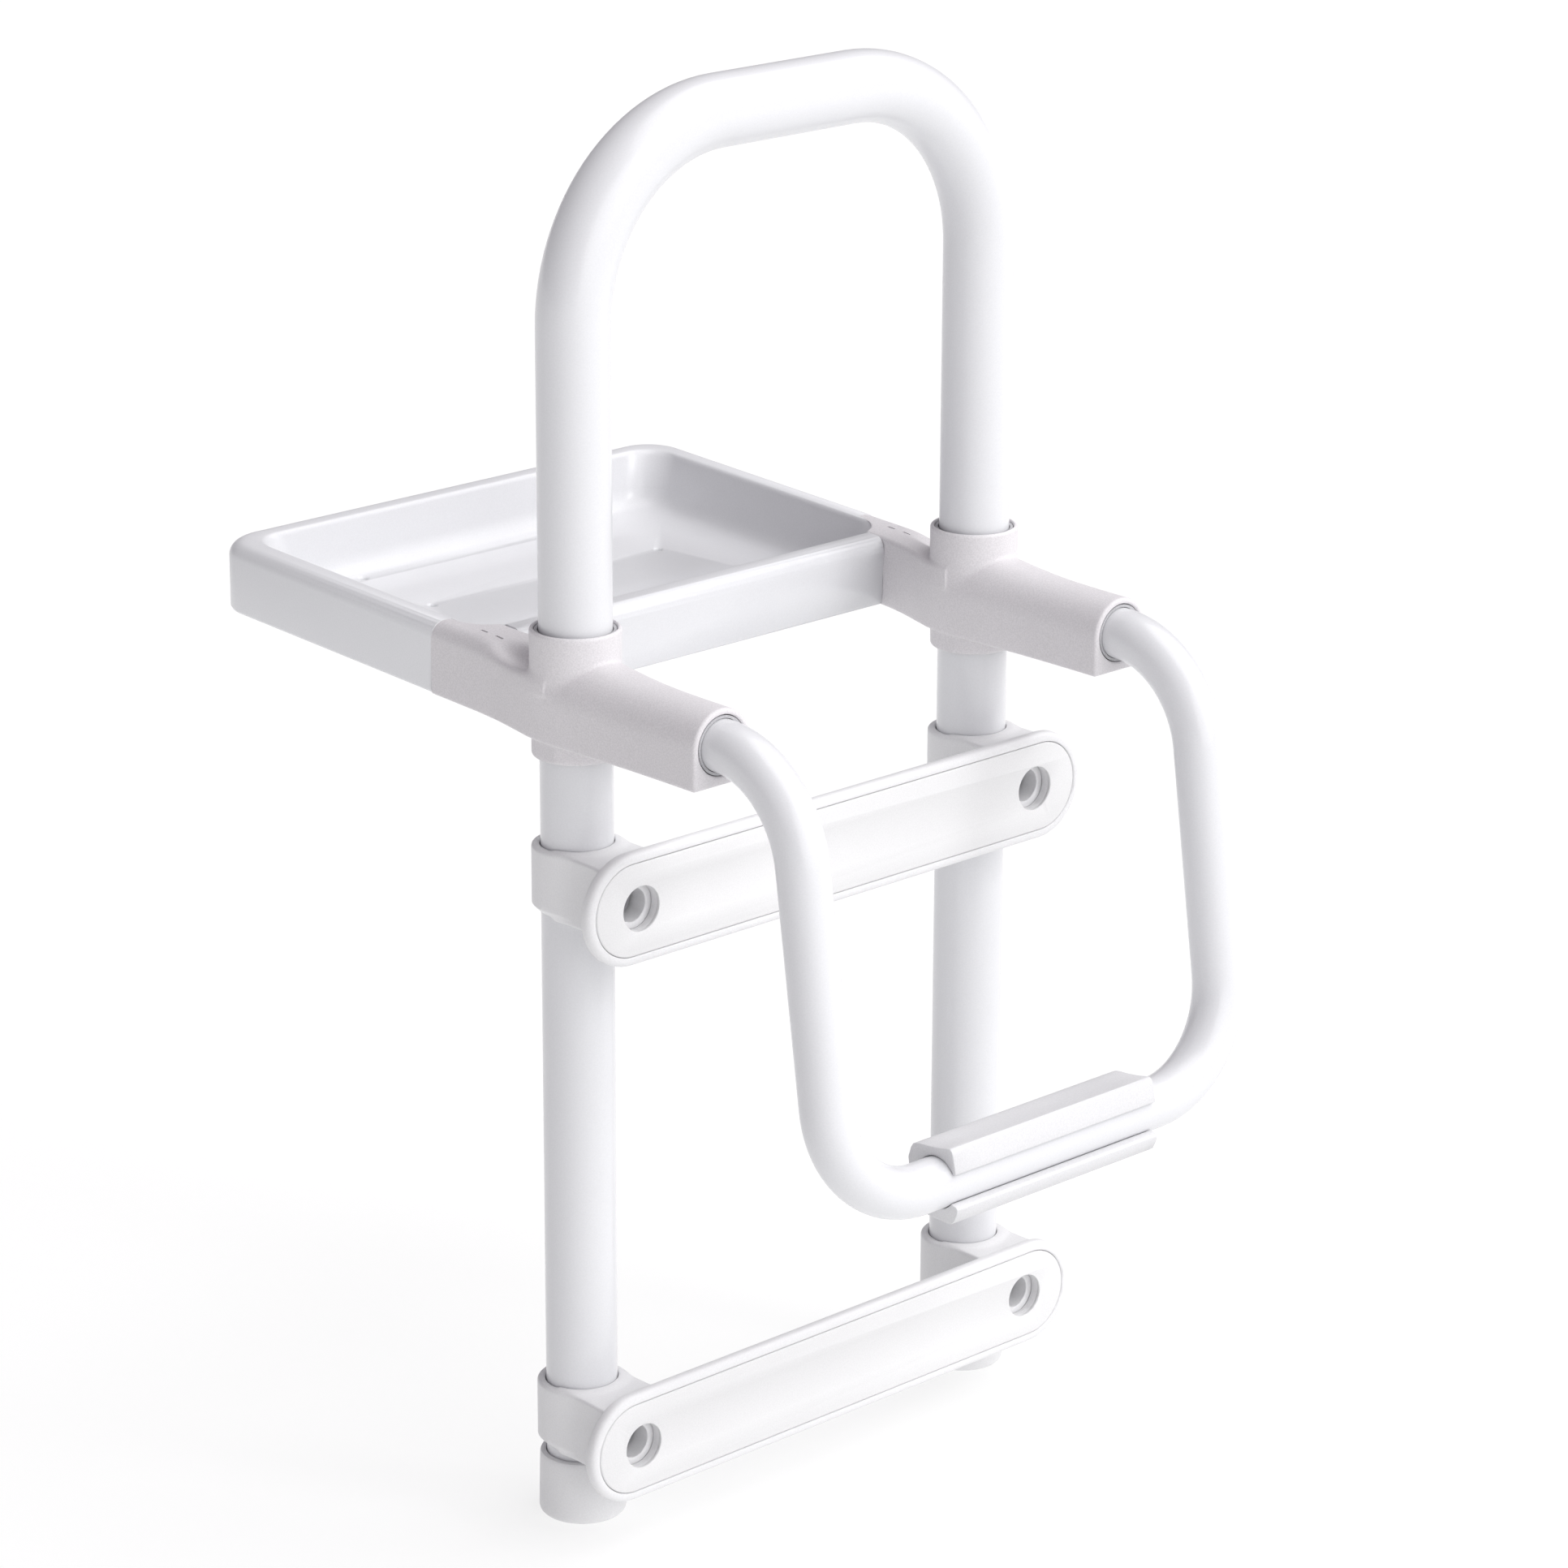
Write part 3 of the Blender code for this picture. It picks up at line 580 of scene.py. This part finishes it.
def make_tray():
    rings = [tray_ring(24 * MM, 4.9 * MM), tray_ring(23.5 * MM, 4.7 * MM)]
    rings += [tray_ring(6.0 * MM, 4.4 * MM), tray_ring(4.6 * MM, 3.2 * MM)]
    rings.append(tray_ring(4.2 * MM, 0.4 * MM))
    rings += [tray_ring(3.8 * MM, 0.0), tray_ring(2.2 * MM, 0.0), tray_ring(1.0 * MM, 0.5 * MM)]
    rings += [tray_ring(0.4 * MM, 1.8 * MM), tray_ring(0.0, TRAY_HEIGHT - RIM_ROUND)]
    for angle in range(10, 91, 10):
        inset = RIM_ROUND * (1 - math.cos(math.radians(angle))) * 0.8
        rings.append(tray_ring(inset, TRAY_HEIGHT - RIM_ROUND * (1 - math.sin(math.radians(angle)))))
    for inset, z in cavity_profile():
        rings.append(tray_ring(inset, z))
    body = loft("tray", rings, 30)
    dish = [(DISH_RADIUS, 8.2 * MM), (DRAIN_RADIUS, 6.4 * MM), (DRAIN_RADIUS, -4 * MM)]
    for x in (-DRAIN_X, DRAIN_X):
        for y in DRAIN_ROWS:
            cut(body, turned("drain", dish, (x, y, 0), 32))
    for side in SIDES.values():
        cut(body, bracket_space(side))
        cut(body, tab_hole(side))
    leaning(body)
    soften(body, 0.25 * MM, 2, 50)
    bake(body)
    shade(body, 35)
    finish_piece(body, "glossy_tray", "saddle", "storage_tray")


def bracket_space(side):
    """Room in the tray's front corner for a bracket, left clear of the hollow's own wall."""
    play = 0.25 * MM
    inner = side * (SHOULDER_INNER + 0.4 * MM - play)
    outer = side * (TRAY_HALF + 10 * MM)
    seam = (SEAM_Y - SLOPE_START) / math.cos(math.atan(TRAY_SLOPE)) + SLOPE_START
    space = solid_block(
        "bracket_space",
        (min(inner, outer), TRAY_FRONT - 10 * MM, -5 * MM),
        (max(inner, outer), seam + play, TRAY_HEIGHT + 10 * MM),
    )
    wall = 1.3 * MM
    steps = cavity_profile(wall)
    rings = [tray_ring(inset, z) for inset, z in steps[2:]]
    rings.insert(0, tray_ring(steps[2][0], TRAY_HEIGHT + 20 * MM))
    return cut(space, loft("cavity", rings, 30))


def tab_hole(side):
    """Shallow slot where the tray's tongue snaps under the bracket."""
    x = side * (TRAY_HALF - 6 * MM)
    return solid_block(
        "tab_hole", (x - 1.5 * MM, SEAM_Y - 5 * MM, 1 * MM), (x + 1.5 * MM, SEAM_Y - 2 * MM, 3 * MM)
    )


make_tray()


# ---- brackets ----------------------------------------------------------------------------
FLARE_FOOT, FLARE_GAIN = 2.7, 1.6       # swelling of the arm by the leg, in mm, and what height adds
FLARE_HEIGHT = 22 * MM
FLARE_REACH = 36 * MM
TOE = 1.2 * MM                          # rounding of the edges of the flat underside
SCOOP_CENTRE = (LEG_X + 8.0 * MM, 17 * MM, TRAY_HEIGHT + 2.5 * MM)
SCOOP_REACH = (8.5 * MM, 24 * MM, 9.5 * MM)
ARM_SCREW_HOLE = 3.3 * MM
COLLAR_SCREW_HOLE = 2.8 * MM
SCREW_HOLE_DEPTH = 12 * MM
PILOT_HOLE, PILOT_DEPTH = 2.1 * MM, 20 * MM
POCKET_INNER, POCKET_OUTER = 116 * MM, 128.3 * MM


def bracket_field(p):
    """The right-hand bracket; x is measured outward from the plane of symmetry."""
    x, y, z = p
    u = x - LEG_X
    flare = (FLARE_FOOT + FLARE_GAIN * np.clip(z / FLARE_HEIGHT, 0, 1)) * MM
    half = ARM_HALF + flare * np.exp(-((y / FLARE_REACH) ** 2))

    # front arm: flat underside and sides, arched top
    across = np.abs(u) - half
    upright = np.maximum(across, -z)
    away = np.sqrt(u ** 2 + (z - BOW_AXIS) ** 2)
    arch = np.where(z > BOW_AXIS, away - half, upright)
    sole = np.sqrt(np.maximum(across + TOE, 0) ** 2 + np.maximum(TOE - z, 0) ** 2) - TOE
    arch = np.where((z < TOE) & (across > -TOE), sole, arch)
    ends = np.maximum(ARM_MOUTH - y, y - 3 * MM)
    arm = corner(arch, ends, 1.5 * MM)

    # rear part, level with the tray's rim, which sinks towards the collar on the outer side
    rise = np.maximum(y - SLOPE_START, 0) * TRAY_SLOPE
    top = TRAY_HEIGHT + rise
    near_leg = np.clip(1 - y / (52 * MM), 0, 1.2)
    near_leg = near_leg * near_leg * (3 - 2 * near_leg)
    outer = TRAY_HALF + (half - (TRAY_HALF - LEG_X)) * near_leg
    shoulder = SHOULDER_INNER - (half - (LEG_X - SHOULDER_INNER)) * near_leg
    sides = np.maximum(x - outer, shoulder - x)
    lid = z - top
    base = rise - z
    upper = corner(x - outer, lid, RIM_ROUND)
    inward = corner(shoulder - x, lid, 2.2 * MM)
    foot = corner(sides, base, TOE)
    rear = corner(np.maximum(np.maximum(upper, inward), foot), y - SEAM_Y, 0.5 * MM)
    rear = np.maximum(rear, -2 * MM - y)
    body = np.minimum(arm, rear)

    # hollow between the rim's ridge and the collar
    parts = [(place - mid) / reach for place, mid, reach in zip(p, SCOOP_CENTRE, SCOOP_REACH)]
    scoop = (np.sqrt(sum(part ** 2 for part in parts)) - 1) * 9.0 * MM
    body = carve(body, scoop, 4.5 * MM)

    # collar round the leg, flush with the sides of the arm below its crown
    collar = rod_field(p, 2, (LEG_X, 0), COLLAR_RADIUS, BOW_AXIS + 4 * MM, COLLAR_TOP, 1.3 * MM)
    body = join(body, collar, 1.8 * MM)
    tip = COLLAR_FOOT - 1.6 * MM
    lower = rod_field(p, 2, (LEG_X, 0), COLLAR_RADIUS - 0.6 * MM, tip, 4 * MM, 1.6 * MM)
    lower = np.maximum(lower, np.abs(u) - half + 0.4 * MM)
    body = join(body, lower, 0.3 * MM)
    return body


def tray_hollow_field(p):
    """Inside of the tray with its wall, which a bracket's top has to leave free."""
    x, y, z = p
    local_z = z - np.maximum(y - SLOPE_START, 0) * TRAY_SLOPE
    draft = np.clip((TRAY_HEIGHT - 2 * MM - local_z) / FLOOR_DEPTH, 0, 1) * 8 * MM
    wall = 1.1 * MM
    inset = RIM_INSET + draft - wall
    return corner(x - (TRAY_HALF - inset), (TRAY_FRONT + inset) - y, CAVITY_CORNER)


def front_wall_field(p):
    """Tray's front wall and side wall beyond the joint with a bracket."""
    x, y, z = p
    lean = (z - TRAY_HEIGHT / 2) * TRAY_SLOPE
    return np.maximum(TRAY_FRONT - 0.3 * MM - lean - y, x - SHOULDER_INNER - 0.4 * MM)


def whole_bracket(p):
    """The bracket, less the room that the tray takes up."""
    body = bracket_field(p)
    body = carve(body, tray_hollow_field(p), 0.4 * MM)
    return np.maximum(body, -front_wall_field(p))


def bore_moulding(obj):
    """Bores for the leg and the bow, each with a rounded mouth."""
    leg = LINER_OUTER + 0.3 * MM
    foot, top = COLLAR_FOOT - 4 * MM, COLLAR_TOP
    profile = [(leg, foot), (leg, top - 0.7 * MM), (leg + 0.1 * MM, top - 0.4 * MM)]
    profile += [(leg + 0.35 * MM, top - 0.1 * MM), (leg + 0.6 * MM, top + 0.05 * MM)]
    profile.append((leg + 0.6 * MM, top + 4 * MM))
    cut(obj, turned("drill", profile, (LEG_X, 0, 0), 96))
    mouth, end = ARM_MOUTH, BOW_START + 4.5 * MM
    profile = [(BOW_BORE, end), (BOW_BORE, mouth + 1.0 * MM), (BOW_BORE + 0.15 * MM, mouth + 0.5 * MM)]
    profile += [(BOW_BORE + 0.5 * MM, mouth + 0.12 * MM), (BOW_BORE + 0.9 * MM, mouth - 0.05 * MM)]
    profile.append((BOW_BORE + 0.9 * MM, mouth - 4 * MM))
    cut(obj, turned("drill", profile, (LEG_X, 0, BOW_AXIS), 96, "Y"))


def detail_bracket(obj, side):
    """Screw holes, snap slots and the pocket for the tray's tab."""
    x = side * LEG_X
    arm_screw = middle("right_arm_lock_screw")
    bore = [(ARM_SCREW_HOLE, 0), (ARM_SCREW_HOLE, SCREW_HOLE_DEPTH)]
    cut(obj, turned("drill", bore, (x, arm_screw.y, -2 * MM), 32))
    collar_screw = middle("right_collar_lock_screw")
    bore = [(COLLAR_SCREW_HOLE, 0), (COLLAR_SCREW_HOLE, SCREW_HOLE_DEPTH)]
    cut(obj, turned("drill", bore, (x, 12 * MM, collar_screw.z), 32, "Y"))
    inner, outer = side * POCKET_INNER, side * POCKET_OUTER
    pocket = solid_block(
        "pocket",
        (min(inner, outer), 56 * MM, -5 * MM),
        (max(inner, outer), SEAM_Y + 5 * MM, 8 * MM),
    )
    cut(obj, pocket)
    bore = [(PILOT_HOLE, 0), (PILOT_HOLE, PILOT_DEPTH)]
    tray_screw = middle("right_tray_screw")
    cut(obj, turned("pilot", bore, (side * tray_screw.x, tray_screw.y, 0), 24))
    for y in (44 * MM, 54 * MM):
        level = TRAY_HEIGHT + (y - SLOPE_START) * TRAY_SLOPE
        slot_x = side * (TRAY_HALF - 11.0 * MM)
        slot = solid_block(
            "snap_slot",
            (slot_x - 0.55 * MM, y, level - 1.6 * MM),
            (slot_x + 0.55 * MM, y + 4.6 * MM, level + 3 * MM),
        )
        cut(obj, slot)


STEP = 0.62 * MM
moulding = surface_of(
    "bracket_mould",
    whole_bracket,
    (LEG_X - COLLAR_RADIUS - MM, ARM_MOUTH, COLLAR_FOOT - 2 * MM),
    (LEG_X + COLLAR_RADIUS + MM, SEAM_Y, COLLAR_TOP),
    STEP,
)
lighten(moulding, 0.5)
bore_moulding(moulding)
for label, side in SIDES.items():
    piece = copy_of(moulding, f"{label}_moulding")
    if side < 0:
        piece.data.transform(Matrix.Scale(-1, 4, (1, 0, 0)))
        piece.data.flip_normals()
    detail_bracket(piece, side)
    shade(piece, 38)
    finish_piece(piece, "moulded_bracket", "saddle", f"{label}_bracket")
bpy.data.objects.remove(moulding, do_unlink=True)


# ---- ferrules ----------------------------------------------------------------------------
def make_ferrule(label, side):
    foot, rim = low(f"{label}_ferrule"), high(f"{label}_ferrule")
    radius = (rim.x - foot.x) / 2
    top = radius - 0.6 * MM
    profile = [(4 * MM, 1.2 * MM), (10 * MM, 1.2 * MM), (10.6 * MM, 0.2 * MM)]
    profile += [(radius - 2.4 * MM, 0.0), (radius - 1.2 * MM, 0.35 * MM), (radius - 0.4 * MM, 1.2 * MM)]
    profile += [(radius, 2.6 * MM), (radius - 0.1 * MM, 7 * MM)]
    length = rim.z - foot.z
    profile += [(top + 0.1 * MM, length - 3 * MM), (top, length - 1.2 * MM)]
    profile += [(top - 0.35 * MM, length - 0.35 * MM), (top - 1.2 * MM, length)]
    bore = TUBE_RADIUS + 0.3 * MM
    profile += [(bore + 0.3 * MM, length), (bore, length - 0.4 * MM), (bore, length - 12 * MM)]
    shell = turned(f"{label}_foot", profile, (side * LEG_X, 0, foot.z))
    finish_piece(shell, "brace_plastic", "handle_frame", f"{label}_ferrule")


for label, side in SIDES.items():
    make_ferrule(label, side)


# ---- braces ------------------------------------------------------------------------------
def stadium(half_length, radius, centre_z):
    reach = half_length - radius
    right = arc((reach, centre_z), radius, -90, 90, 28)
    return right + arc((-reach, centre_z), radius, 90, 270, 28)


def stadium_skin(name, profile, height):
    """Long rounded plate: profile is a list of (distance in from the edge, y)."""
    rings = []
    for inset, y in profile:
        outline = stadium(PLATE_HALF - inset, PLATE_RADIUS - inset, height)
        rings.append([Vector((x, y, z)) for x, z in outline])
    return loft(name, rings, 32)


def key_hole_drill(x, height, radius):
    """Bar that cuts a key hole right through a plate."""
    start, end = PLATE_FRONT - 10 * MM, PLATE_BACK + 10 * MM
    return turned("drill", [(radius, 0), (radius, end - start)], (x, start, height), 56, "Y")


def make_plate(brace, height):
    """Plate with a rounded edge about a shallow pocket, and the facing sheet that lies in it."""
    border, bend = 4.2 * MM, 2.6 * MM
    front, back = PLATE_FRONT, PLATE_BACK
    profile = [(1.2 * MM, back), (0.35 * MM, back - 0.3 * MM), (0.0, back - 1.0 * MM)]
    for angle in range(0, 91, 15):
        turn = math.radians(angle)
        profile.append((bend * (1 - math.cos(turn)), front + 0.4 * MM + bend * (1 - math.sin(turn))))
    profile += [(border - 0.4 * MM, front + 0.4 * MM), (border, front + 0.6 * MM)]
    profile.append((border + 0.1 * MM, front + 1.9 * MM))
    body = stadium_skin(f"{brace}_plate", profile, height)
    sheet_profile = [(border + 0.3 * MM, front + 1.8 * MM), (border + 0.3 * MM, front + 0.9 * MM)]
    sheet_profile += [(border + 0.5 * MM, front + 0.45 * MM), (border + 1.1 * MM, front + 0.3 * MM)]
    sheet = stadium_skin(f"{brace}_facing", sheet_profile, height)
    for side in SIDES.values():
        x = side * LEG_X
        cut(body, key_hole_drill(x, height, KEY_HOLE))
        cut(sheet, key_hole_drill(x, height, KEY_HOLE - 0.2 * MM))
    for piece, width in ((body, 0.5 * MM), (sheet, 0.35 * MM)):
        soften(piece, width, 3, 50)
        bake(piece)
        shade(piece, 35)
    finish_piece(body, "brace_plastic", f"{brace}_brace", f"{brace}_brace_plate")
    finish_piece(sheet, "facing_rubber", f"{brace}_brace", f"{brace}_facing_sheet")


CLAMP_LOW = low("upper_left_clamp").z - BRACES["upper"]
CLAMP_HIGH = high("upper_left_clamp").z - BRACES["upper"]
NECK_HALF = 16.8 * MM
THREAD_HOLE = 3.3 * MM
KEY_BORE_FLOOR = -19.6 * MM     # y at which the wide bore for the lock screw's head ends


def clamp_field(p):
    """Clamp about a leg, with the leg's axis at x = 0 and its plate's centre at z = 0."""
    x, y, z = p
    shell = rod_field(p, 2, (0, 0), COLLAR_RADIUS, CLAMP_LOW, CLAMP_HIGH, 1.6 * MM)
    bevel = (np.sqrt(x ** 2 + y ** 2) - COLLAR_RADIUS + 4.4 * MM - (z - CLAMP_LOW)) * 0.707
    shell = np.maximum(shell, bevel)
    spread = NECK_HALF + 1.2 * MM * np.clip((-20 * MM - y) / (16 * MM), 0, 1) ** 2
    neck = box_field(
        [x * (NECK_HALF / spread), y, z],
        (-NECK_HALF, PLATE_BACK + 0.3 * MM, CLAMP_LOW),
        (NECK_HALF, -4 * MM, CLAMP_HIGH),
        1.3 * MM,
    )
    body = join(shell, neck, 4 * MM)
    body = np.maximum(body, CLAMP_LOW - z)
    body = carve(body, np.sqrt(x ** 2 + y ** 2) - (TUBE_RADIUS + 0.3 * MM), 0.8 * MM)
    key = np.maximum(np.sqrt(x ** 2 + z ** 2) - KEY_BORE, y - KEY_BORE_FLOOR)
    body = carve(body, key, 0.7 * MM)
    thread = np.maximum(np.sqrt(x ** 2 + z ** 2) - THREAD_HOLE, y + 10 * MM)
    return np.maximum(body, -thread)


clamp_mould = surface_of(
    "clamp_mould",
    clamp_field,
    (-COLLAR_RADIUS, PLATE_BACK + 0.3 * MM, CLAMP_LOW),
    (COLLAR_RADIUS, COLLAR_RADIUS, CLAMP_HIGH),
    0.7 * MM,
)
lighten(clamp_mould, 0.5)
for brace, height in BRACES.items():
    make_plate(brace, height)
    for label, side in SIDES.items():
        piece = copy_of(clamp_mould, f"{brace}_{label}_cuff")
        piece.data.transform(Matrix.Translation((side * LEG_X, 0, height)))
        finish_piece(piece, "brace_plastic", f"{brace}_brace", f"{brace}_{label}_clamp")
bpy.data.objects.remove(clamp_mould, do_unlink=True)


# ---- pad on the bow ----------------------------------------------------------------------
def pad_outline():
    """Cross-section about the bow's bar as (backward, upward): a long upper and a short lower lip."""
    grip = BOW_RADIUS + 0.3 * MM
    inner = arc((0, 0), grip, -134, 157, 48)
    top = [(-12.6, 4.8), (-12.3, 8.0), (-11.9, 12.8), (-11.4, 14.8), (-10.2, 15.9), (-8.0, 15.9)]
    crown = [(-4.5, 15.6), (-1.0, 15.5), (3.0, 15.6), (7.5, 15.9), (10.0, 15.8)]
    back = [(12.2, 15.1), (13.6, 13.4), (15.6, 9.4), (15.8, 8.6), (15.8, -8.6), (15.6, -9.4)]
    base = [(13.4, -13.6), (12.4, -14.4), (10.0, -15.0), (2.0, -16.4), (-4.6, -17.5), (-6.6, -17.5)]
    lip = [(-8.6, -16.5), (-10.4, -13.8), (-11.4, -11.9), (-11.5, -10.7), (-10.8, -9.6)]
    outer = [(a * MM, b * MM) for a, b in top + crown + back + base + lip]
    return inner + outer


def make_pad():
    half = high("bow_pad").x
    rings = []
    for x in np.linspace(-half, half, 9):
        ring = []
        for backward, upward in pad_outline():
            y = BAR_Y + backward * math.cos(BOW_TILT) + upward * math.sin(BOW_TILT)
            z = BAR_Z + upward * math.cos(BOW_TILT) - backward * math.sin(BOW_TILT)
            ring.append(Vector((x, y, z)))
        rings.append(ring)
    pad = loft("grip_pad", rings, 28)
    soften(pad, 0.45 * MM, 3, 60)
    bake(pad)
    shade(pad, 28)
    finish_piece(pad, "pad_rubber", "bow_pad", "bow_pad")


make_pad()


# ---- CAD nodes that stay -----------------------------------------------------------------
for name, part in frame["nodes"].items():
    if part.hide_render:
        continue
    slot = next(entry["material_slot"] for entry in frame["record"]["subparts"] if entry["node"] == name)
    for index in range(max(1, len(part.material_slots))):
        if not part.material_slots:
            part.data.materials.append(LOOKS[slot])
        part.material_slots[index].material = LOOKS[slot]
    soften(part, 0.15 * MM, 2, 40)


# ---- floor, light and camera -------------------------------------------------------------
def make_floor():
    depth = low("left_ferrule").z - 0.4 * MM
    reach = 60.0
    corners = [(-reach, -reach), (reach, -reach), (reach, reach), (-reach, reach)]
    floor = mesh_object("floor", [(x, y, depth) for x, y in corners], [(0, 1, 2, 3)])
    paper = bpy.data.materials.new("pale_floor")
    paper.use_nodes = True
    shader = paper.node_tree.nodes["Principled BSDF"]
    shader.inputs["Base Color"].default_value = (0.25, 0.25, 0.25, 1)
    shader.inputs["Roughness"].default_value = 0.9
    shader.inputs["Emission Color"].default_value = (1, 1, 1, 1)
    shader.inputs["Emission Strength"].default_value = 0.74
    floor.data.materials.append(paper)


def soft_sun(name, place, strength, spread, tint=(1, 1, 1)):
    """Wide distant light that comes from the side of a place, aimed at the object."""
    data = bpy.data.lights.new(name, "SUN")
    data.energy = strength
    data.angle = math.radians(spread)
    data.color = tint
    obj = bpy.data.objects.new(name, data)
    obj.rotation_euler = Vector(place).to_track_quat("Z", "Y").to_euler()
    bpy.context.scene.collection.objects.link(obj)


def softbox(name, place, size, power):
    """Small square lamp aimed at the object, for the highlights on the glossy tubes."""
    data = bpy.data.lights.new(name, "AREA")
    data.size = size
    data.energy = power
    obj = bpy.data.objects.new(name, data)
    obj.location = place
    obj.rotation_euler = Vector(place).to_track_quat("Z", "Y").to_euler()
    bpy.context.scene.collection.objects.link(obj)


make_floor()
soft_sun("key", (0.9, -0.65, 1.7), 2.35, 75, (1.0, 0.995, 0.99))
soft_sun("front", (-0.1, -1.6, 0.5), 1.35, 60)
softbox("highlight", (0.8, -1.7, 1.7), 0.45, 6.5)

world = bpy.data.worlds.new("studio")
bpy.context.scene.world = world
world.use_nodes = True
world.node_tree.nodes["Background"].inputs["Color"].default_value = (1.0, 0.95, 1.02, 1)
world.node_tree.nodes["Background"].inputs["Strength"].default_value = 0.30

bpy.context.scene.view_settings.view_transform = "Standard"

AZIMUTH = math.radians(-43.15)
ELEVATION = math.radians(18.48)
ROLL = math.radians(0.25)
DISTANCE = 2.321
LENS = 120.9
AIM_RIGHT, AIM_UP = 1.5 * MM, -48.6 * MM


def make_camera():
    data = bpy.data.cameras.new("camera")
    data.sensor_width = 36
    data.lens = LENS
    data.clip_start = 0.05
    camera = bpy.data.objects.new("camera", data)
    bpy.context.scene.collection.objects.link(camera)
    back = Vector(
        (
            math.sin(AZIMUTH) * math.cos(ELEVATION),
            -math.cos(AZIMUTH) * math.cos(ELEVATION),
            math.sin(ELEVATION),
        )
    )
    right = Vector((math.cos(AZIMUTH), math.sin(AZIMUTH), 0))
    aim = right * AIM_RIGHT + Vector((0, 0, AIM_UP))
    up = back.cross(right)
    leaned_right = right * math.cos(ROLL) + up * math.sin(ROLL)
    leaned_up = back.cross(leaned_right)
    turn = Matrix((leaned_right, leaned_up, back)).transposed().to_4x4()
    camera.matrix_world = Matrix.Translation(aim + back * DISTANCE) @ turn
    bpy.context.scene.camera = camera


make_camera()
